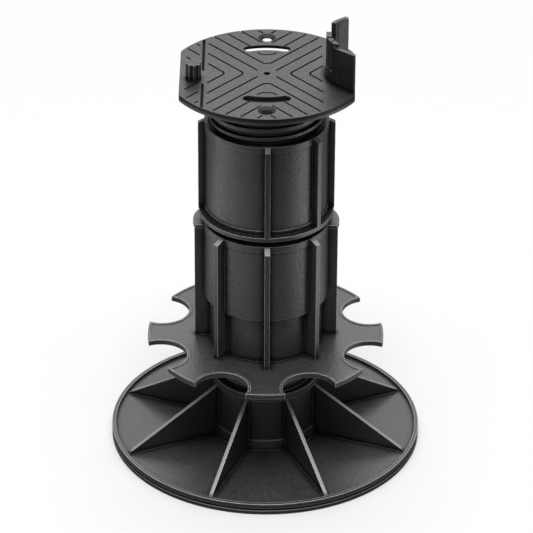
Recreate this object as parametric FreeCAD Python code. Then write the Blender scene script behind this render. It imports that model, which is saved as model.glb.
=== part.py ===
import FreeCAD, Part
import math
import os

# Adjustable decking pedestal: a grooved base, a star-flanged coupler, a ribbed extension coupler
# and a joist head, screwed into one another on one upright axis.
# Millimetres, +Z up, +X right, +Y to the back. The origin is on the floor under the axis.

# Screw fits between the pieces
THREAD_CREST_R = 36.2
THREAD_DEPTH = 1.9
BASE_CREST_R = 30.6
SCREW_CLEARANCE = 0.3
STEM_WALL = 2.6
TWIST = 1.1

# How far cutting shapes stand past what they cut
CUT_MARGIN = 1.0

# Base
BASE_R = 100.0
BASE_PLATE_TOP = 5.5
BASE_PLATE_THICKNESS = 3.0
BASE_RIM_HEIGHT = 7.5
BASE_RIM_WIDTH = 2.4
BASE_SKIRT_WIDTH = 5.0
EDGE_GROOVE_LOW = 2.9
EDGE_GROOVE_HIGH = 4.4
EDGE_GROOVE_DEPTH = 1.1
BASE_TUBE_WALL = 2.7
BASE_TUBE_TOP = 46.7
BASE_BAND_HEIGHT = 4.6
BASE_BAND_PROUD = 0.4
FOOT_PROUD = 1.8
FOOT_HEIGHT = 7.0
GUSSET_COUNT = 8
GUSSET_THICKNESS = 2.3
GUSSET_GAP = 1.2
GUSSET_TOP = 43.2
GUSSET_TOE = 0.9
GUSSET_TURN = 1.5

# Star coupler
STAR_TOP = 74.0
STAR_THICKNESS = 3.4
STAR_R = 76.0
STAR_ARMS = 8
SCALLOP_R = 17.2
SCALLOP_CENTRE_R = 72.6
STAR_BEAD_WIDTH = 1.5
STAR_BEAD_HEIGHT = 0.5
STAR_STEM_LENGTH = 45.0
STAR_NECK_STEP = 3.6
STAR_NECK_HEIGHT = 31.8
STAR_BODY_WALL = 2.8
STAR_BODY_TOP = 160.0
STAR_BAND_PROUD = 0.8
STAR_RIB_COUNT = 8
STAR_RIB_PROUD = 6.2
LUG_EDGE_R = 23.5
LUG_PROUD = 0.8
LUG_MIDDLE_Y = -2.0
LUG_FRONT = 8.3
LUG_BACK = 15.0
LUG_THICKNESS = 2.6
LUG_DROP = 0.9

# Extension coupler
EXT_FLANGE_GAP = 5.0
EXT_FLANGE_THICKNESS = 2.7
EXT_FLANGE_PROUD = 4.2
EXT_BODY_WALL = 1.9
EXT_BODY_HEIGHT = 62.0
EXT_FOOT_STEP = 3.2
EXT_FOOT_PROUD = 0.7
EXT_BAND_PROUD = 0.6
EXT_STEM_LENGTH = 50.0
EXT_RIB_PROUD = 4.5
EXT_RIB_ANGLES = (0.0, 49.4, 90.0, 180.0, 229.4, 270.0)

# Ribs and mouth bands shared by both couplers
BAND_HEIGHT = 4.4
RIB_THICKNESS = 3.3
RIB_SLOPE = 0.5
EMBED = 0.8

# Head
HEAD_GAP = 27.3
HEAD_EDGE_DEPTH = 4.0
HEAD_PLATE_THICKNESS = 2.0
HEAD_R = 61.4
HEAD_FLAT_X = 53.9
HEAD_CORNER_R = 5.0
HEAD_EDGE_WIDTH = 2.4
HEAD_STEM_LENGTH = 60.0
HEAD_NECK_STEP = 2.3
HEAD_NECK_HEIGHT = 5.2
HEAD_RIB_ANGLES = (38.0, 90.0, 142.0)
HEAD_RIB_THICKNESS = 1.8
CENTRE_HOLE_R = 1.9
SCREW_OFFSET = 49.5
SCREW_HOLE_R = 3.0
SCREW_SINK_R = 5.6
SCREW_SINK_DEPTH = 1.3
SLOT_INNER_R = 32.0
SLOT_WIDTH = 6.8
SLOT_HALF_ANGLE = 18.4

# Grooves in the head's top
GROOVE_WIDTH = 0.9
GROOVE_DEPTH = 0.7
GROOVE_SLOPE = 1.19
GROOVE_FIRST = 25.6
GROOVE_STEP = 11.65
GROOVE_COUNT = 7
GROOVE_INNER_X = (0.0, 0.0, 5.8, 4.6, 10.7, 3.4, 2.6)
GROOVE_END_R = 59.6
GROOVE_LEFT_X = 36.6
GROOVE_RIGHT_X = 34.4
GROOVES_RUN_OUT = (3, 5)
TIP_HALF = 1.4
APEX_MIDDLE = 1.8
APEX_RISE = 3.0
SMILE_HALF = 6.0
SMILE_MIDDLE = 3.0
SMILE_OUT = 28.4
SMILE_IN = 25.9

# Break-off segments, pin and joist fin on the head
BREAK_X = 39.6
BREAK_WIDTH = 1.4
BREAK_DEPTH = 1.4
BREAK_END_GAP = 1.2
BREAK_BRIDGE = (-14.4, 3.6)
SEGMENT_GROOVE_COUNT = 3
SEGMENT_GROOVE_FIRST = 10.5
SEGMENT_GROOVE_STEP = 10.7
SEGMENT_GROOVE_X = (42.0, 50.2)
PIN_MARGIN = 4.0
PIN_X = -45.4
PIN_Y = -7.4
PIN_R = 4.8
PIN_HEIGHT = 11.0
PIN_POINTS = 8
PIN_TURN = 10.0
PIN_TIP_TURN = 7.0
PIN_FLUTE_DEPTH = 1.3
FIN_X = 37.8
FIN_THICKNESS = 3.1
FIN_HEIGHT = 28.4
FIN_FRONT_DROP = 2.6
FIN_STRAIGHT = 4.0
FIN_BEND = (39.6, 10.5)
FIN_TURN = (43.8, 17.2)
FIN_END = (54.6, 26.4)
FIN_SLIT_WIDTH = 1.1
FIN_SLIT_Y = -12.0
FIN_SLIT_TURN = 35.0
FIN_SLIT_FLOOR = 9.5
FIN_GAP_FRONT = (-7.6, -5.4)
FIN_GAP_BACK = (1.0, 13.6)
FIN_GAP_FLOOR = 8.0
FIN_STEP_Y = -15.4
FIN_BACK_CUT_X = 50.6

BASE_BORE_R = BASE_CREST_R + SCREW_CLEARANCE
BASE_TUBE_R = BASE_BORE_R + BASE_TUBE_WALL
SOCKET_BORE_R = THREAD_CREST_R + SCREW_CLEARANCE
STEM_INNER_R = THREAD_CREST_R - THREAD_DEPTH - STEM_WALL
BASE_STEM_INNER_R = BASE_CREST_R - THREAD_DEPTH - STEM_WALL
FOOT_R = BASE_TUBE_R + FOOT_PROUD
GUSSET_REACH = BASE_R - BASE_RIM_WIDTH - GUSSET_GAP
STAR_BODY_R = SOCKET_BORE_R + STAR_BODY_WALL
STAR_NECK_R = STAR_BODY_R - STAR_NECK_STEP
STAR_RIB_R = STAR_BODY_R + STAR_RIB_PROUD
LUG_REACH = STAR_RIB_R + LUG_PROUD
EXT_BODY_R = SOCKET_BORE_R + EXT_BODY_WALL
EXT_FLANGE_R = EXT_BODY_R + EXT_FLANGE_PROUD
EXT_RIB_R = EXT_BODY_R + EXT_RIB_PROUD
HEAD_NECK_R = THREAD_CREST_R - HEAD_NECK_STEP
STAR_UNDER = STAR_TOP - STAR_THICKNESS
EXT_FLANGE_UNDER = STAR_BODY_TOP + EXT_FLANGE_GAP
EXT_FLANGE_TOP = EXT_FLANGE_UNDER + EXT_FLANGE_THICKNESS
EXT_TOP = EXT_FLANGE_TOP + EXT_BODY_HEIGHT
HEAD_TOP = EXT_TOP + HEAD_GAP + HEAD_EDGE_DEPTH
HEAD_UNDER = HEAD_TOP - HEAD_PLATE_THICKNESS


def revolved(points):
    # a closed outline of (radius, height) points, turned about the upright axis
    corners = [FreeCAD.Vector(r, 0, z) for r, z in points]
    face = Part.Face(Part.makePolygon(corners + corners[:1]))
    return face.revolve(FreeCAD.Vector(0, 0, 0), FreeCAD.Vector(0, 0, 1), 360)


def upright_plate(points, thickness, angle):
    # a radial plate from (radius, height) points; angle 0 faces the front, 90 faces +X
    corners = [FreeCAD.Vector(r, -thickness / 2, z) for r, z in points]
    face = Part.Face(Part.makePolygon(corners + corners[:1]))
    plate = face.extrude(FreeCAD.Vector(0, thickness, 0))
    plate.rotate(FreeCAD.Vector(0, 0, 0), FreeCAD.Vector(0, 0, 1), angle - 90)
    return plate


def cylinder(radius, low, high, x=0.0, y=0.0):
    return Part.makeCylinder(radius, high - low, FreeCAD.Vector(x, y, low))


def ring(outer, inner, low, high):
    return cylinder(outer, low, high).cut(cylinder(inner, low, high))


def box(x0, x1, y0, y1, z0, z1):
    return Part.makeBox(x1 - x0, y1 - y0, z1 - z0, FreeCAD.Vector(x0, y0, z0))


def around(count, turn=0.0):
    return [turn + 360.0 * i / count for i in range(count)]


def joined(first, others):
    solid = first.fuse(others).removeSplitter()
    return solid.Solids[0] if len(solid.Solids) == 1 else solid


def ribs(tube_r, outer_r, foot, crown, angles, neck_r, neck_top):
    # upright ribs round a tube and the narrower neck below it, their tops sloping down outwards
    drop = (outer_r - tube_r) * RIB_SLOPE
    side = [(neck_r - EMBED, foot), (outer_r, foot), (outer_r, crown - drop), (tube_r, crown),
            (tube_r - EMBED, crown), (tube_r - EMBED, neck_top + EMBED), (neck_r - EMBED, neck_top + EMBED)]
    return [upright_plate(side, RIB_THICKNESS, angle) for angle in angles]


def base():
    tube_r = BASE_TUBE_R
    band_r = tube_r + BASE_BAND_PROUD
    plate_under = BASE_PLATE_TOP - BASE_PLATE_THICKNESS
    body = revolved([
        (BASE_BORE_R, 0), (FOOT_R, 0), (FOOT_R, plate_under),
        (BASE_R - BASE_SKIRT_WIDTH, plate_under), (BASE_R - BASE_SKIRT_WIDTH, 0), (BASE_R, 0),
        (BASE_R, EDGE_GROOVE_LOW), (BASE_R - EDGE_GROOVE_DEPTH, EDGE_GROOVE_LOW),
        (BASE_R - EDGE_GROOVE_DEPTH, EDGE_GROOVE_HIGH), (BASE_R, EDGE_GROOVE_HIGH),
        (BASE_R, BASE_RIM_HEIGHT), (BASE_R - BASE_RIM_WIDTH, BASE_RIM_HEIGHT),
        (BASE_R - BASE_RIM_WIDTH, BASE_PLATE_TOP), (FOOT_R, BASE_PLATE_TOP),
        (band_r, BASE_PLATE_TOP + FOOT_HEIGHT), (tube_r, BASE_PLATE_TOP + FOOT_HEIGHT),
        (tube_r, BASE_TUBE_TOP - BASE_BAND_HEIGHT), (band_r, BASE_TUBE_TOP - BASE_BAND_HEIGHT),
        (band_r, BASE_TUBE_TOP), (BASE_BORE_R, BASE_TUBE_TOP)])
    plates = []
    for angle in around(GUSSET_COUNT, 180.0 / GUSSET_COUNT + GUSSET_TURN):
        side = [(tube_r - EMBED, plate_under), (GUSSET_REACH, plate_under),
                (GUSSET_REACH, BASE_PLATE_TOP + GUSSET_TOE), (tube_r - EMBED, GUSSET_TOP)]
        plates.append(upright_plate(side, GUSSET_THICKNESS, angle))
        web = [(FOOT_R - EMBED, 0), (BASE_R - BASE_SKIRT_WIDTH + EMBED, 0),
               (BASE_R - BASE_SKIRT_WIDTH + EMBED, plate_under), (FOOT_R - EMBED, plate_under)]
        plates.append(upright_plate(web, GUSSET_THICKNESS, angle))
    return joined(body, plates)


def star_outline(outset, low, high):
    # the eight-armed flange; outset grows or shrinks its whole outline
    disc = cylinder(STAR_R + outset, low, high)
    bites = []
    for angle in around(STAR_ARMS, 180.0 / STAR_ARMS):
        a = math.radians(angle - 90)
        bites.append(cylinder(SCALLOP_R - outset, low - CUT_MARGIN, high + CUT_MARGIN,
                              SCALLOP_CENTRE_R * math.cos(a), SCALLOP_CENTRE_R * math.sin(a)))
    return disc.cut(bites)


def lug(side):
    # a rounded grip lug on the mouth, at the side rib; side is -1 or 1
    top = STAR_BODY_TOP - LUG_DROP
    edge = cylinder(LUG_EDGE_R, top - LUG_THICKNESS, top, side * (LUG_REACH - LUG_EDGE_R), LUG_MIDDLE_Y)
    low_x, high_x = sorted((side * (STAR_BODY_R - EMBED), side * (LUG_REACH + CUT_MARGIN)))
    window = box(low_x, high_x, LUG_MIDDLE_Y - LUG_FRONT, LUG_MIDDLE_Y + LUG_BACK, top - LUG_THICKNESS, top)
    core = cylinder(STAR_BODY_R - EMBED, top - LUG_THICKNESS, top)
    return edge.common(window).cut(core)


def star_coupler():
    stem_bottom = STAR_UNDER - STAR_STEM_LENGTH
    neck_top = STAR_TOP + STAR_NECK_HEIGHT
    neck_inner = STAR_NECK_R - STEM_WALL
    band_r = STAR_BODY_R + STAR_BAND_PROUD
    body = revolved([
        (BASE_STEM_INNER_R, stem_bottom), (BASE_CREST_R, stem_bottom), (BASE_CREST_R, STAR_UNDER),
        (STAR_NECK_R, STAR_UNDER), (STAR_NECK_R, neck_top), (STAR_BODY_R, neck_top),
        (STAR_BODY_R, STAR_BODY_TOP - BAND_HEIGHT), (band_r, STAR_BODY_TOP - BAND_HEIGHT),
        (band_r, STAR_BODY_TOP), (SOCKET_BORE_R, STAR_BODY_TOP),
        (SOCKET_BORE_R, neck_top + STEM_WALL), (neck_inner, neck_top + STEM_WALL),
        (neck_inner, STAR_TOP), (BASE_STEM_INNER_R, STAR_TOP)])
    flange = star_outline(0, STAR_UNDER, STAR_TOP)
    flange = flange.cut(star_outline(-STAR_BEAD_WIDTH, STAR_TOP - STAR_BEAD_HEIGHT, STAR_TOP + CUT_MARGIN))
    flange = flange.cut(cylinder(STAR_NECK_R - EMBED, STAR_UNDER - CUT_MARGIN, STAR_TOP + CUT_MARGIN))
    foot = STAR_TOP - STAR_BEAD_HEIGHT - EMBED
    webs = ribs(STAR_BODY_R, STAR_RIB_R, foot, STAR_BODY_TOP, around(STAR_RIB_COUNT, TWIST), STAR_NECK_R, neck_top)
    return joined(body, [flange] + webs + [lug(-1), lug(1)])


def extension_coupler():
    stem_bottom = EXT_FLANGE_UNDER - EXT_STEM_LENGTH
    foot_top = EXT_FLANGE_TOP + EXT_FOOT_STEP
    foot_r = EXT_BODY_R + EXT_FOOT_PROUD
    band_r = EXT_BODY_R + EXT_BAND_PROUD
    body = revolved([
        (STEM_INNER_R, stem_bottom), (THREAD_CREST_R, stem_bottom), (THREAD_CREST_R, EXT_FLANGE_UNDER),
        (EXT_FLANGE_R, EXT_FLANGE_UNDER), (EXT_FLANGE_R, EXT_FLANGE_TOP), (foot_r, EXT_FLANGE_TOP),
        (foot_r, foot_top), (EXT_BODY_R, foot_top),
        (EXT_BODY_R, EXT_TOP - BAND_HEIGHT), (band_r, EXT_TOP - BAND_HEIGHT),
        (band_r, EXT_TOP), (SOCKET_BORE_R, EXT_TOP),
        (SOCKET_BORE_R, EXT_FLANGE_TOP), (STEM_INNER_R, EXT_FLANGE_TOP)])
    foot = EXT_FLANGE_TOP - EMBED
    webs = ribs(EXT_BODY_R, EXT_RIB_R, foot, EXT_TOP, [TWIST + angle for angle in EXT_RIB_ANGLES],
                EXT_BODY_R, foot)
    return joined(body, webs)


def head_blank(outset, low, high):
    # the round plate with a flat on each side and rounded corners where they meet
    disc = cylinder(HEAD_R + outset, low, high)
    reach = HEAD_FLAT_X + outset
    blank = disc.common(box(-reach, reach, -HEAD_R - CUT_MARGIN, HEAD_R + CUT_MARGIN, low, high))
    upright_edges = [edge for edge in blank.Edges if edge.BoundBox.ZLength > EMBED]
    return blank.makeFillet(HEAD_CORNER_R + outset, upright_edges)


def groove_bar(x0, y0, x1, y1):
    # a straight groove cut from the plate's top
    low, high = HEAD_TOP - GROOVE_DEPTH, HEAD_TOP + CUT_MARGIN
    length = math.hypot(x1 - x0, y1 - y0)
    bar = box(0, length, -GROOVE_WIDTH / 2, GROOVE_WIDTH / 2, low, high)
    bar.rotate(FreeCAD.Vector(0, 0, 0), FreeCAD.Vector(0, 0, 1), math.degrees(math.atan2(y1 - y0, x1 - x0)))
    bar.translate(FreeCAD.Vector(x0, y0, 0))
    return bar


def groove_reach(start, limit_x, end_r):
    # where a slanting groove meets the side limit or the round end, as (x, y)
    slope = GROOVE_SLOPE
    square = 1 + slope ** 2
    root = math.sqrt((slope * slope * start) ** 2 - square * ((slope * start) ** 2 - end_r ** 2))
    x = min((slope * slope * start + root) / square, limit_x)
    return x, slope * (x - start)


def long_grooves():
    # chevrons that point at the centre from all sides; those that start on the X axis have a blunt tip
    bars = []
    for i in range(GROOVE_COUNT):
        start = GROOVE_FIRST - GROOVE_STEP * i
        pointed = GROOVE_INNER_X[i] < start
        inner_x = start + TIP_HALF / GROOVE_SLOPE if pointed else GROOVE_INNER_X[i]
        inner_y = GROOVE_SLOPE * (inner_x - start)
        for side, limit in ((-1, GROOVE_LEFT_X), (1, GROOVE_RIGHT_X)):
            if pointed:
                bars.append(groove_bar(side * inner_x, -inner_y, side * inner_x, inner_y))
            for end in (-1, 1):
                runs_out = i in GROOVES_RUN_OUT and side < 0 < end
                x, y = groove_reach(start, limit, HEAD_R + CUT_MARGIN if runs_out else GROOVE_END_R)
                bars.append(groove_bar(side * inner_x, end * inner_y, side * x, end * y))
    return bars


def arched_grooves(end):
    # the blunt apex of the fourth chevron and the short arc inside the slot; end is -1 at the front
    apex_x = GROOVE_INNER_X[3]
    apex_y = GROOVE_SLOPE * (apex_x - GROOVE_FIRST + 3 * GROOVE_STEP)
    bars = []
    for half, out, middle, inside in ((apex_x, apex_y, APEX_MIDDLE, apex_y - APEX_RISE),
                                      (SMILE_HALF, SMILE_OUT, SMILE_MIDDLE, SMILE_IN)):
        for side in (-1, 1):
            bars.append(groove_bar(side * half, end * out, side * middle, end * inside))
        bars.append(groove_bar(-middle, end * inside, middle, end * inside))
    return bars


def segment_grooves(end):
    # short slanting grooves on the left segment, kept clear of the pin
    near, far = SEGMENT_GROOVE_X
    bars = []
    for i in range(SEGMENT_GROOVE_COUNT):
        start = SEGMENT_GROOVE_FIRST + SEGMENT_GROOVE_STEP * i
        inner_x = max(near, start + (PIN_R + PIN_MARGIN) / GROOVE_SLOPE)
        x, y = groove_reach(start, far, GROOVE_END_R)
        bars.append(groove_bar(-inner_x, end * GROOVE_SLOPE * (inner_x - start), -x, end * y))
    return bars


def grooves():
    bars = long_grooves()
    for end in (-1, 1):
        bars += arched_grooves(end) + segment_grooves(end)
    return bars


def curved_slot(end):
    # a slot concentric with the plate, with round ends; end is -1 at the front, 1 at the back
    low, high = HEAD_UNDER - CUT_MARGIN, HEAD_TOP + CUT_MARGIN
    middle_r = SLOT_INNER_R + SLOT_WIDTH / 2
    arc = ring(SLOT_INNER_R + SLOT_WIDTH, SLOT_INNER_R, low, high)
    a = math.radians(SLOT_HALF_ANGLE)
    reach = 2 * SLOT_INNER_R
    corners = [(0, 0), (reach * math.sin(a), reach * math.cos(a)), (-reach * math.sin(a), reach * math.cos(a))]
    wire = Part.makePolygon([FreeCAD.Vector(x, end * y, low) for x, y in corners + corners[:1]])
    wedge = Part.Face(wire).extrude(FreeCAD.Vector(0, 0, high - low))
    ends = [cylinder(SLOT_WIDTH / 2, low, high, side * middle_r * math.sin(a), end * middle_r * math.cos(a))
            for side in (-1, 1)]
    return arc.common(wedge).fuse(ends)


def screw_hole(end):
    y = end * SCREW_OFFSET
    shank = cylinder(SCREW_HOLE_R, HEAD_UNDER - CUT_MARGIN, HEAD_TOP + CUT_MARGIN, 0, y)
    sink = Part.makeCone(SCREW_HOLE_R, SCREW_SINK_R, SCREW_SINK_DEPTH,
                         FreeCAD.Vector(0, y, HEAD_TOP - SCREW_SINK_DEPTH))
    return shank.fuse(sink)


def break_grooves():
    # two deep grooves in one line, where the left segment snaps off
    x0, x1 = -BREAK_X - BREAK_WIDTH / 2, -BREAK_X + BREAK_WIDTH / 2
    low, high = HEAD_TOP - BREAK_DEPTH, HEAD_TOP + CUT_MARGIN
    end = math.sqrt(HEAD_R ** 2 - BREAK_X ** 2) - BREAK_END_GAP
    front, back = BREAK_BRIDGE
    return [box(x0, x1, -end, front, low, high), box(x0, x1, back, end, low, high)]


def fluted_pin():
    # a star-shaped pin: each point has a narrow flat tip, and straight flanks run down to the valleys
    step = 360.0 / PIN_POINTS
    corners = []
    for angle in around(PIN_POINTS, PIN_TURN):
        for turn, radius in ((-PIN_TIP_TURN, PIN_R), (PIN_TIP_TURN, PIN_R), (step / 2, PIN_R - PIN_FLUTE_DEPTH)):
            a = math.radians(angle + turn)
            corners.append(FreeCAD.Vector(PIN_X + radius * math.cos(a), PIN_Y + radius * math.sin(a),
                                          HEAD_TOP - EMBED))
    outline = Part.Face(Part.makePolygon(corners + corners[:1]))
    return outline.extrude(FreeCAD.Vector(0, 0, PIN_HEIGHT + EMBED))


def fin_side(offset):
    # one side of the bow-shaped fin in plan, from the front end to the back end
    def at(x, y):
        return FreeCAD.Vector(x + offset, y, 0)
    bend, turn, tip = FIN_BEND, FIN_TURN, FIN_END
    front_arc = Part.Arc(at(turn[0], -turn[1]), at(bend[0], -bend[1]), at(FIN_X, -FIN_STRAIGHT))
    back_arc = Part.Arc(at(FIN_X, FIN_STRAIGHT), at(bend[0], bend[1]), at(turn[0], turn[1]))
    return [Part.LineSegment(at(tip[0], -tip[1]), at(turn[0], -turn[1])).toShape(), front_arc.toShape(),
            Part.LineSegment(at(FIN_X, -FIN_STRAIGHT), at(FIN_X, FIN_STRAIGHT)).toShape(),
            back_arc.toShape(), Part.LineSegment(at(turn[0], turn[1]), at(tip[0], tip[1])).toShape()]


def fin_slit():
    # a narrow slit down from the fin's top to a round relief hole
    low, high = HEAD_TOP + FIN_SLIT_FLOOR, HEAD_TOP + FIN_HEIGHT + CUT_MARGIN
    half = 2 * FIN_THICKNESS
    slit = box(-half, half, -FIN_SLIT_WIDTH / 2, FIN_SLIT_WIDTH / 2, low, high)
    relief = Part.makeCylinder(FIN_SLIT_WIDTH, 2 * half, FreeCAD.Vector(-half, 0, low), FreeCAD.Vector(1, 0, 0))
    slit = slit.fuse(relief)
    slit.rotate(FreeCAD.Vector(0, 0, 0), FreeCAD.Vector(0, 0, 1), FIN_SLIT_TURN)
    slit.translate(FreeCAD.Vector(FIN_BEND[0], FIN_SLIT_Y, 0))
    return slit


def joist_fin():
    # the bow-shaped fin that holds the joist: two wings and two springy fingers between them
    low, top = HEAD_TOP - EMBED, HEAD_TOP + FIN_HEIGHT + CUT_MARGIN
    outer, inner = fin_side(-FIN_THICKNESS / 2), fin_side(FIN_THICKNESS / 2)
    ends = [Part.makeLine(outer[i].Vertexes[j].Point, inner[i].Vertexes[j].Point) for i, j in ((0, 0), (-1, -1))]
    outline = Part.Wire(Part.sortEdges(outer + inner + ends)[0])
    wall = Part.Face(outline).extrude(FreeCAD.Vector(0, 0, FIN_HEIGHT + EMBED))
    wall.translate(FreeCAD.Vector(0, 0, low))
    wall = wall.common(head_blank(0, low, top))
    gap_floor = HEAD_TOP + FIN_GAP_FLOOR
    cuts = [fin_slit()]
    cuts += [box(0, HEAD_FLAT_X, front, back, gap_floor, top) for front, back in (FIN_GAP_FRONT, FIN_GAP_BACK)]
    cuts.append(box(0, HEAD_FLAT_X + CUT_MARGIN, -HEAD_R, FIN_STEP_Y, HEAD_TOP + FIN_HEIGHT - FIN_FRONT_DROP, top))
    cuts.append(box(FIN_BACK_CUT_X, HEAD_FLAT_X + CUT_MARGIN, 0, HEAD_R, HEAD_TOP + EMBED, top))
    return wall.cut(cuts)


def joist_head():
    plate = head_blank(0, HEAD_TOP - HEAD_EDGE_DEPTH, HEAD_TOP)
    plate = plate.cut(head_blank(-HEAD_EDGE_WIDTH, HEAD_TOP - HEAD_EDGE_DEPTH - CUT_MARGIN, HEAD_UNDER))
    stem_bottom = HEAD_UNDER - HEAD_STEM_LENGTH
    neck_bottom = HEAD_UNDER - HEAD_NECK_HEIGHT
    stem = revolved([
        (STEM_INNER_R, stem_bottom), (THREAD_CREST_R, stem_bottom), (THREAD_CREST_R, neck_bottom),
        (HEAD_NECK_R, neck_bottom), (HEAD_NECK_R, HEAD_UNDER + EMBED), (STEM_INNER_R, HEAD_UNDER + EMBED)])
    side = [(HEAD_NECK_R - EMBED, HEAD_TOP - HEAD_EDGE_DEPTH), (HEAD_R, HEAD_TOP - HEAD_EDGE_DEPTH),
            (HEAD_R, HEAD_UNDER + EMBED), (HEAD_NECK_R - EMBED, HEAD_UNDER + EMBED)]
    inside = head_blank(-EMBED, HEAD_TOP - HEAD_EDGE_DEPTH, HEAD_TOP)
    webs = [upright_plate(side, HEAD_RIB_THICKNESS, turn * angle).common(inside)
            for angle in HEAD_RIB_ANGLES for turn in (-1, 1)]
    solid = joined(plate, [stem] + webs + [fluted_pin(), joist_fin()])
    cuts = [cylinder(CENTRE_HOLE_R, HEAD_UNDER - CUT_MARGIN, HEAD_TOP + CUT_MARGIN)]
    cuts += [screw_hole(-1), screw_hole(1), curved_slot(-1), curved_slot(1)]
    cuts += break_grooves() + grooves()
    return solid.cut(cuts)


def main():
    os.makedirs("parts", exist_ok=True)
    pieces = (("base", base), ("star_coupler", star_coupler),
              ("extension_coupler", extension_coupler), ("joist_head", joist_head))
    for name, make in pieces:
        shape = make()
        print(name, shape.isValid(), len(shape.Solids), round(shape.Volume / 1000, 1), "cm3")
        shape.exportStep("parts/" + name + ".step")


main()
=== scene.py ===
import math
import bpy
import bmesh
from mathutils import Matrix, Vector


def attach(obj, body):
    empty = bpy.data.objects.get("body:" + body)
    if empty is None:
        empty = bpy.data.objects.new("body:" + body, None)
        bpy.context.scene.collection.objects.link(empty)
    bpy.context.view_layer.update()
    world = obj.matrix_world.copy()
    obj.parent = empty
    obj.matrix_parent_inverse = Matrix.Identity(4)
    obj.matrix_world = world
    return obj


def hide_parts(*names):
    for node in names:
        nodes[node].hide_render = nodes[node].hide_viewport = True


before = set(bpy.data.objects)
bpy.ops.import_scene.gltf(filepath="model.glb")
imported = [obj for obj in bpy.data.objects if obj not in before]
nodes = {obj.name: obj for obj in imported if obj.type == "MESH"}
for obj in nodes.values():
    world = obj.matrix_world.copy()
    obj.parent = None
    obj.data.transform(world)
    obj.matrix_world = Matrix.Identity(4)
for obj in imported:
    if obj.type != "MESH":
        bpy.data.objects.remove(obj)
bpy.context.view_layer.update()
print("frame loaded:", ", ".join(sorted(nodes)))

mm = 0.001

# the camera stands where the photo was taken from; angles in degrees, lens and sensor in millimetres
view = {"distance": 2.2, "elevation": 30.24, "aimX": 0.34 * mm, "aimHeight": 122.9 * mm,
        "roll": 0.3, "lens": 232.9, "sensor": 36.0, "farClip": 60.0}


def makeCamera():
    elevation = math.radians(view["elevation"])
    roll = math.radians(view["roll"])
    forward = Vector((0, math.cos(elevation), -math.sin(elevation)))
    up = Vector((0, math.sin(elevation), math.cos(elevation)))
    right = Vector((1, 0, 0))
    rolledRight = math.cos(roll) * right + math.sin(roll) * up
    rolledUp = math.cos(roll) * up - math.sin(roll) * right
    data = bpy.data.cameras.new("camera")
    data.lens = view["lens"]
    data.sensor_width = view["sensor"]
    data.clip_end = view["farClip"]
    camera = bpy.data.objects.new("camera", data)
    bpy.context.scene.collection.objects.link(camera)
    place = Vector((view["aimX"], 0, view["aimHeight"])) - view["distance"] * forward
    turn = Matrix((rolledRight, rolledUp, -forward)).transposed().to_4x4()
    camera.matrix_world = Matrix.Translation(place) @ turn
    bpy.context.scene.camera = camera


class Wire:
    # one output of a shader node; expressions on it add Math nodes
    def __init__(self, maker, socket):
        self.maker = maker
        self.socket = socket

    def math(self, operation, other, flipped=False):
        pair = (other, self) if flipped else (self, other)
        return self.maker.add("ShaderNodeMath", {"operation": operation}, {0: pair[0], 1: pair[1]})

    def __add__(self, other):
        return self.math("ADD", other)

    def __sub__(self, other):
        return self.math("SUBTRACT", other)

    def __mul__(self, other):
        return self.math("MULTIPLY", other)

    def __rsub__(self, other):
        return self.math("SUBTRACT", other, flipped=True)

    def __abs__(self):
        return self.maker.add("ShaderNodeMath", {"operation": "ABSOLUTE"}, {0: self})

    def most(self, other):
        return self.math("MAXIMUM", other)

    def above(self, other):
        return self.math("GREATER_THAN", other)

    def below(self, other):
        return self.math("LESS_THAN", other)

    def within(self, span, middle):
        # 1 where the value lies less than span from middle, 0 elsewhere
        return self.maker.add("ShaderNodeMath", {"operation": "COMPARE"}, {0: self, 1: middle, 2: span})

    def mapped(self, start, end, low=0.0, high=1.0, kind="LINEAR"):
        # low where the value is start, high where it is end, and held beyond them
        sockets = {"Value": self, "From Min": start, "From Max": end, "To Min": low, "To Max": high}
        return self.maker.add("ShaderNodeMapRange", {"interpolation_type": kind}, sockets)

    __radd__ = __add__
    __rmul__ = __mul__


class Maker:
    # the nodes of one material or world; add() makes any node from its type, settings and sockets
    def __init__(self, owner):
        self.owner = owner
        owner.use_nodes = True
        self.tree = owner.node_tree
        self.tree.nodes.clear()

    def add(self, kind, settings=None, sockets=None, output=0):
        node = self.tree.nodes.new(kind)
        for key, value in (settings or {}).items():
            setattr(node, key, value)
        for key, value in (sockets or {}).items():
            if isinstance(value, Wire):
                self.tree.links.new(value.socket, node.inputs[key])
            else:
                node.inputs[key].default_value = value
        return Wire(self, node.outputs[output])

    def tint(self, level, blueShift=1.0):
        # a grey as bright as level, colder where blueShift is above 1
        sockets = {"Red": level, "Green": level, "Blue": level * blueShift}
        return self.add("ShaderNodeCombineColor", None, sockets)

    def finish(self, share, first, second, kind="ShaderNodeOutputMaterial"):
        # the surface is the first shader, and as much of the second as share says
        mix = self.add("ShaderNodeMixShader", None, {0: share, 1: first, 2: second})
        out = self.tree.nodes.new(kind)
        self.tree.links.new(mix.socket, out.inputs["Surface"])
        return self.owner


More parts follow.
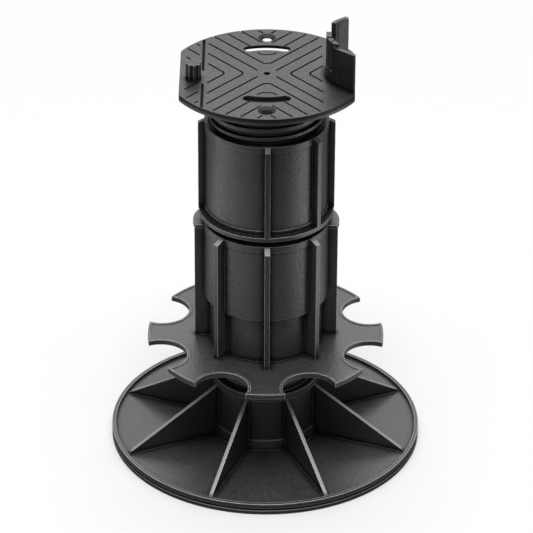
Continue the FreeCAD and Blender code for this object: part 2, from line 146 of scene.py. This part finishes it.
# tones and shares run from 0 to 1; grainHeight, creaseReach, plateDepth and plateMargin are in millimetres,
# and noPlate is a height in metres that lies below everything
# the edge and ridge tones paint highlights, and the crease values and the plate and side shares paint shade
plastic = {"colour": 0.016, "blueShift": 1.02, "roughness": 0.42,
           "cloudScale": 38.0, "cloudDetail": 3.0, "cloudAmount": 0.30, "cloudRoughness": 0.10,
           "speckleScale": 480.0, "speckleDetail": 1.0, "speckleAmount": 0.8, "speckleRoughness": 0.25,
           "grainHeight": 0.22, "grainStrength": 0.6,
           "edgeSamples": 6, "edgeFlat": 0.99, "edgeFull": 0.93, "edgeHighlightTone": 0.42,
           "ridgeUp": 0.8, "ridgeSpan": 0.15, "ridgeHighlightTone": 0.15,
           "creaseSamples": 8, "creaseReach": 5.0, "creaseOpen": 0.93, "creaseShut": 0.57,
           "creaseShadeShare": 0.92, "creaseShadeTone": 0.002, "creaseRoughness": 0.9, "creaseShine": 0.05,
           "plateDepth": 1.05, "plateMargin": 0.1, "plateShadeShare": 0.85, "sideShadeShare": 0.65, "noPlate": -1.0}


def noise(m, place, scale, detail):
    # runs from about -0.5 to 0.5
    return m.add("ShaderNodeTexNoise", None, {"Vector": place, "Scale": scale, "Detail": detail}) - 0.5


def mouldedPlastic(name, part):
    # near-black polypropylene: fine moulded grain, faint clouds of tone, painted highlights on its edges,
    # painted shade in its creases;
    # the narrow sloped tops of ribs and gussets, above ridgesFrom, get the painted highlight too;
    # on a plate whose top is at plateTop the edges of its grooves and holes get painted shade instead of the
    # painted highlight, and so do its faces there that don't face straight up
    m = Maker(bpy.data.materials.new(name + " plastic"))
    place = m.add("ShaderNodeTexCoord", output="Object")
    height = m.add("ShaderNodeSeparateXYZ", None, {"Vector": place}, output="Z")
    plateTop = part.get("plateTop", plastic["noPlate"])
    plateDepth = plastic["plateDepth"]
    onPlate = height.within((plateDepth + plastic["plateMargin"]) * mm, middle=plateTop - plateDepth * mm)

    bevelled = m.add("ShaderNodeBevel", {"samples": plastic["edgeSamples"]}, {"Radius": part["edgeRadius"]})
    flat = m.add("ShaderNodeNewGeometry", output="True Normal")
    likeness = m.add("ShaderNodeVectorMath", {"operation": "DOT_PRODUCT"},
                     {0: bevelled, 1: flat}, output="Value")
    nearEdge = likeness.mapped(plastic["edgeFlat"], plastic["edgeFull"])
    upward = m.add("ShaderNodeSeparateXYZ", None, {"Vector": flat}, output="Z")
    # painted highlight: pale colour on the narrow sloped tops that face up, above ridgesFrom
    ridgeHighlight = upward.within(plastic["ridgeSpan"], middle=plastic["ridgeUp"]) * height.above(part["ridgesFrom"])
    # painted highlight: pale colour along the edges, off the plate, and the sloped tops' painted highlight
    # where that is paler
    paintedHighlight = nearEdge * (1 - onPlate) * (plastic["edgeHighlightTone"] * part["edgeHighlightShare"])
    paintedHighlight = paintedHighlight.most(ridgeHighlight * plastic["ridgeHighlightTone"])

    cloud = noise(m, place, plastic["cloudScale"], plastic["cloudDetail"])
    speckle = noise(m, place, plastic["speckleScale"], plastic["speckleDetail"])
    shade = cloud * plastic["cloudAmount"] + speckle * plastic["speckleAmount"] + 1.0
    colour = m.tint(shade * (plastic["colour"] * part["tone"]) + paintedHighlight, plastic["blueShift"])
    rough = cloud * plastic["cloudRoughness"] + speckle * plastic["speckleRoughness"]
    rough = rough + (plastic["roughness"] + part["roughness"])
    grain = m.add("ShaderNodeBump", None, {"Strength": plastic["grainStrength"], "Normal": bevelled,
                                           "Distance": plastic["grainHeight"] * mm, "Height": speckle})
    body = m.add("ShaderNodeBsdfPrincipled", None,
                 {"Base Color": colour, "Roughness": rough, "Normal": grain})

    # painted shade: a near-black matte sheet, mixed over the plastic in the creases that ambient occlusion
    # finds
    dark = plastic["creaseShadeTone"]
    creaseShade = m.add("ShaderNodeBsdfPrincipled", None, {
        "Base Color": (dark, dark, dark, 1), "Roughness": plastic["creaseRoughness"],
        "Specular IOR Level": plastic["creaseShine"]})
    openness = m.add("ShaderNodeAmbientOcclusion",
                     {"samples": plastic["creaseSamples"], "only_local": True},
                     {"Distance": plastic["creaseReach"] * mm}, output="AO")
    # how much painted shade a crease gets, more where the surface is shut in
    depth = openness.mapped(plastic["creaseOpen"], plastic["creaseShut"], high=plastic["creaseShadeShare"])
    # painted shade on the plate: along the edges of its grooves and holes, and on its faces that don't face
    # straight up
    side = upward.below(plastic["ridgeUp"] + plastic["ridgeSpan"])
    plateShade = (nearEdge * plastic["plateShadeShare"]).most(side * plastic["sideShadeShare"]) * onPlate
    # the larger share of painted shade, from the creases or from the plate, mixes the dark sheet over the
    # plastic
    return m.finish(depth.most(plateShade), body, creaseShade)


# the floor is floorTone for the light that it throws back and paperTone for the camera, and a share of it
# glows white for the camera, from shareNear round the part to shareFar in the distance; radii in metres;
# paper, ambient and panelReflectionGlow are the strengths of that white, of the world's light and of the panels
studio = {"size": 14.0, "floorTone": 0.15, "paperTone": 0.48, "paper": 1.0, "ambient": 0.04,
          "panelReflectionGlow": 3.0, "shareNear": 0.25, "shareFar": 0.96, "nearR": 0.25, "farR": 1.1}

# patches of the floor that glow brighter than the paper for reflected rays only, a painted reflection in the
# part; metres on the floor
panels = {
    "left": {"middle": (-0.50, -0.06), "half": (0.20, 0.15), "soft": 0.10, "share": 0.66},
    "right": {"middle": (0.47, -0.08), "half": (0.22, 0.12), "soft": 0.10, "share": 1.0},
    "frontLeft": {"middle": (-0.24, -0.30), "half": (0.08, 0.12), "soft": 0.10, "share": 0.36},
}

# places, aims and sizes in metres, power in watts
lamps = {
    "back": {"place": (0.0, 3.3, 2.4), "aim": (0, 0, 0.15), "size": (4.4, 1.7), "power": 74.0},
    "overhead": {"place": (0.0, 0.1, 2.4), "aim": (0, 0, 0), "size": (3.0, 3.0), "power": 112.0},
    "key": {"place": (0.0, -0.7, 2.2), "aim": (0, 0, 0), "size": (0.7, 0.7), "power": 32.0},
    "frontLeft": {"place": (-1.2, -1.2, 0.6), "aim": (0, 0, 0.12), "size": (0.8, 0.8), "power": 2.2},
    "frontRight": {"place": (1.2, -1.2, 0.6), "aim": (0, 0, 0.12), "size": (0.8, 0.8), "power": 1.8},
    "front": {"place": (0.0, -1.6, 0.5), "aim": (0, 0, 0.06), "size": (0.7, 0.4), "power": 2.2},
}


def panelMask(m, place, panel):
    # 1 on a glowing patch of the floor, fading to 0 round its edge
    mask = 1.0
    for axis in (0, 1):
        along = m.add("ShaderNodeSeparateXYZ", None, {"Vector": place}, output=axis)
        edge = panel["half"][axis]
        away = abs(along - panel["middle"][axis])
        mask = mask * away.mapped(edge, edge + panel["soft"], low=1.0, high=0.0, kind="SMOOTHSTEP")
    return mask


def makeFloor():
    bpy.ops.mesh.primitive_plane_add(size=studio["size"])
    floor = bpy.context.object
    floor.name = "floor"
    m = Maker(bpy.data.materials.new("pale paper"))
    seen = m.add("ShaderNodeLightPath", output="Is Camera Ray")
    mirrored = m.add("ShaderNodeLightPath", output="Is Glossy Ray")
    tone = seen * (studio["paperTone"] - studio["floorTone"]) + studio["floorTone"]
    lit = m.add("ShaderNodeBsdfDiffuse", None, {"Color": m.tint(tone)})
    # painted reflection: for reflected rays the floor's glow is brighter than the paper
    brightness = mirrored * (studio["panelReflectionGlow"] - studio["paper"]) + studio["paper"]
    glow = m.add("ShaderNodeEmission", None, {"Color": m.tint(brightness)})
    place = m.add("ShaderNodeNewGeometry", output="Position")
    away = m.add("ShaderNodeVectorMath", {"operation": "LENGTH"}, {0: place}, output="Value")
    share = seen * away.mapped(studio["nearR"], studio["farR"], low=studio["shareNear"],
                               high=studio["shareFar"], kind="SMOOTHSTEP")
    # the panels glow for reflected rays only, where their masks are
    for panel in panels.values():
        share = share + mirrored * panelMask(m, place, panel) * panel["share"]
    floor.data.materials.append(m.finish(share, lit, glow))
    floor.active_material.cycles.emission_sampling = "NONE"


def makeWorld():
    # a little even light, and white where the camera looks past the floor
    m = Maker(bpy.data.worlds.new("studio"))
    seen = m.add("ShaderNodeLightPath", output="Is Camera Ray")
    ambient, white = [m.add("ShaderNodeBackground", None, {"Color": (1, 1, 1, 1), "Strength": strength})
                      for strength in (studio["ambient"], studio["paper"])]
    bpy.context.scene.world = m.finish(seen, ambient, white, kind="ShaderNodeOutputWorld")


def makeLamps():
    for name, lamp in lamps.items():
        data = bpy.data.lights.new(name, "AREA")
        data.shape = "RECTANGLE"
        data.size, data.size_y = lamp["size"]
        data.energy = lamp["power"]
        light = bpy.data.objects.new(name, data)
        bpy.context.scene.collection.objects.link(light)
        light.location = lamp["place"]
        light.visible_camera = False
        light.rotation_euler = (Vector(lamp["aim"]) - light.location).to_track_quat("-Z", "Y").to_euler()


makeCamera()
makeFloor()
makeWorld()
makeLamps()
print("camera, paper floor and", len(lamps), "soft lamps made")

# angles in degrees: faces that differ less than flatAngle are joined, edges over sharpAngle are rounded,
# and edges over smoothAngle stay sharp in the shading
edgeWork = {"weld": 0.004 * mm, "flatAngle": 0.6, "sharpAngle": 32.0, "bevelWidth": 0.38 * mm,
            "bevelSegments": 2, "smoothAngle": 40.0, "flatWeight": 100}


def copyOfNode(name, newName):
    # the node's own form as a clean mesh of large flat faces
    data = nodes[name].data.copy()
    if "custom_normal" in data.attributes:
        data.attributes.remove(data.attributes["custom_normal"])
    piece = bpy.data.objects.new(newName, data)
    bpy.context.scene.collection.objects.link(piece)
    mesh = bmesh.new()
    mesh.from_mesh(data)
    bmesh.ops.remove_doubles(mesh, verts=mesh.verts, dist=edgeWork["weld"])
    bmesh.ops.dissolve_limit(mesh, angle_limit=math.radians(edgeWork["flatAngle"]),
                             verts=mesh.verts, edges=mesh.edges)
    mesh.to_mesh(data)
    mesh.free()
    return piece


def applyModifiers(piece):
    bpy.context.view_layer.update()
    evaluated = piece.evaluated_get(bpy.context.evaluated_depsgraph_get())
    fresh = bpy.data.meshes.new_from_object(evaluated)
    piece.modifiers.clear()
    piece.data = fresh


def roundCorner(piece, corner):
    # the outer top corner of the fin's back wing, a larger radius than the other edges have
    mesh = bmesh.new()
    mesh.from_mesh(piece.data)
    ends = [edge for edge in mesh.edges
            if all(v.co.x > corner["beyondX"] and v.co.z > corner["aboveZ"] for v in edge.verts)]
    bmesh.ops.bevel(mesh, geom=ends, offset=corner["radius"], segments=corner["segments"],
                    profile=corner["roundness"], affect="EDGES", clamp_overlap=True)
    mesh.to_mesh(piece.data)
    mesh.free()
    print("fin corner rounded on", len(ends), "edge")


def roundEdges(piece):
    # small moulded radii on every sharp edge
    bevel = piece.modifiers.new("rounded edges", "BEVEL")
    bevel.width = edgeWork["bevelWidth"]
    bevel.segments = edgeWork["bevelSegments"]
    bevel.limit_method = "ANGLE"
    bevel.angle_limit = math.radians(edgeWork["sharpAngle"])
    bevel.use_clamp_overlap = True
    applyModifiers(piece)


def shadeEvenly(piece):
    piece.data.shade_smooth()
    piece.data.set_sharp_from_angle(angle=math.radians(edgeWork["smoothAngle"]))
    even = piece.modifiers.new("even flats", "WEIGHTED_NORMAL")
    even.keep_sharp = True
    even.weight = edgeWork["flatWeight"]
    applyModifiers(piece)


# the groove between the crests: mouth, flank and root are shares of its half width just outside the stem,
# at flankDepth of its depth and at its floor; near its upper end, over lead of a turn, its depth fades to
# leastDepth of the whole
thread = {"pitch": 5.9 * mm, "depth": 1.85 * mm, "crestWidth": 2.0 * mm, "turnSteps": 72, "lead": 0.7,
          "overlap": 0.4 * mm, "mouth": 1.16, "flankDepth": 0.55, "flank": 0.84, "root": 0.52,
          "leastDepth": 0.2}


def threadOutline(crestR):
    # radius and height of the points round the groove's section
    half = (thread["pitch"] - thread["crestWidth"]) / 2
    upper = [(crestR + thread["overlap"], half * thread["mouth"]), (crestR, half),
             (crestR - thread["depth"] * thread["flankDepth"], half * thread["flank"]),
             (crestR - thread["depth"], half * thread["root"])]
    return upper + [(radius, -height) for radius, height in reversed(upper)]


def threadCutter(crestR, low, high, startTurn):
    # a helical ribbon of waste: cutting it away leaves round-topped thread crests, pitch apart
    outer = crestR + thread["overlap"]
    outline = threadOutline(crestR)
    count = int((high - low) / thread["pitch"] * thread["turnSteps"])
    ribbon = bmesh.new()
    rows = []
    for i in range(count + 1):
        angle = startTurn + 2 * math.pi * i / thread["turnSteps"]
        height = low + (high - low) * i / count
        fade = min(1.0, (count - i) / (thread["lead"] * thread["turnSteps"]))
        depthShare = thread["leastDepth"] + (1 - thread["leastDepth"]) * fade
        row = []
        for r, h in outline:
            radius = outer - (outer - r) * depthShare
            row.append(ribbon.verts.new((radius * math.cos(angle), radius * math.sin(angle), height + h)))
        rows.append(row)
    for a, b in zip(rows, rows[1:]):
        for j in range(len(outline)):
            k = (j + 1) % len(outline)
            ribbon.faces.new((a[j], a[k], b[k], b[j]))
    ribbon.faces.new(rows[0][::-1])
    ribbon.faces.new(rows[-1])
    bmesh.ops.recalc_face_normals(ribbon, faces=ribbon.faces)
    data = bpy.data.meshes.new("thread cutter")
    ribbon.to_mesh(data)
    ribbon.free()
    cutter = bpy.data.objects.new("thread cutter", data)
    bpy.context.scene.collection.objects.link(cutter)
    return cutter


def cutThread(piece, cutter):
    cut = piece.modifiers.new("thread", "BOOLEAN")
    cut.operation = "DIFFERENCE"
    cut.solver = "EXACT"
    cut.object = cutter
    applyModifiers(piece)
    bpy.data.objects.remove(cutter)


# tone and edgeHighlightShare multiply the plastic's own values, and roughness is added to it;
# turn is the angle in radians at which a thread starts
moulded = {
    "base": {"body": "base", "slot": "base_plastic", "tone": 1.25, "roughness": 0.0,
             "edgeRadius": 0.85 * mm, "edgeHighlightShare": 0.85, "ridgesFrom": 7.5 * mm},
    "star_coupler": {"body": "star_coupler", "slot": "coupler_plastic", "tone": 1.5, "roughness": -0.04,
                     "edgeRadius": 0.42 * mm, "edgeHighlightShare": 1.35, "ridgesFrom": 75.0 * mm,
                     "crestR": 30.6 * mm, "threadTop": 68.6 * mm, "threadBottom": 27.0 * mm, "turn": 0.4},
    "extension_coupler": {"body": "extension_coupler", "slot": "coupler_plastic", "tone": 1.0,
                          "roughness": -0.02, "edgeRadius": 0.4 * mm, "edgeHighlightShare": 1.25,
                          "ridgesFrom": 168.0 * mm, "crestR": 36.2 * mm, "threadTop": 163.4 * mm,
                          "threadBottom": 117.0 * mm, "turn": 3.27},
    "joist_head": {"body": "joist_head", "slot": "head_plastic", "tone": 0.45, "roughness": 0.02,
                   "edgeRadius": 0.75 * mm, "edgeHighlightShare": 0.35, "ridgesFrom": 262.0 * mm,
                   "plateTop": 261.0 * mm, "crestR": 36.2 * mm, "threadTop": 252.6 * mm,
                   "threadBottom": 201.0 * mm, "turn": 4.45,
                   "corner": {"beyondX": 50.4 * mm, "aboveZ": 289.2 * mm, "radius": 2.8 * mm,
                              "segments": 5, "roundness": 0.5}},
}


def makePiece(name, part):
    piece = copyOfNode(name, name + "_moulding")
    if "corner" in part:
        roundCorner(piece, part["corner"])
    roundEdges(piece)
    if "crestR" in part:
        cutThread(piece, threadCutter(part["crestR"], part["threadBottom"], part["threadTop"], part["turn"]))
    shadeEvenly(piece)
    piece.data.materials.clear()
    piece.data.materials.append(mouldedPlastic(name, part))
    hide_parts(name)
    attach(piece, part["body"])
    print(name, "finished with", len(piece.data.polygons), "faces")


for name, part in moulded.items():
    makePiece(name, part)

bpy.context.scene.view_settings.view_transform = "Standard"
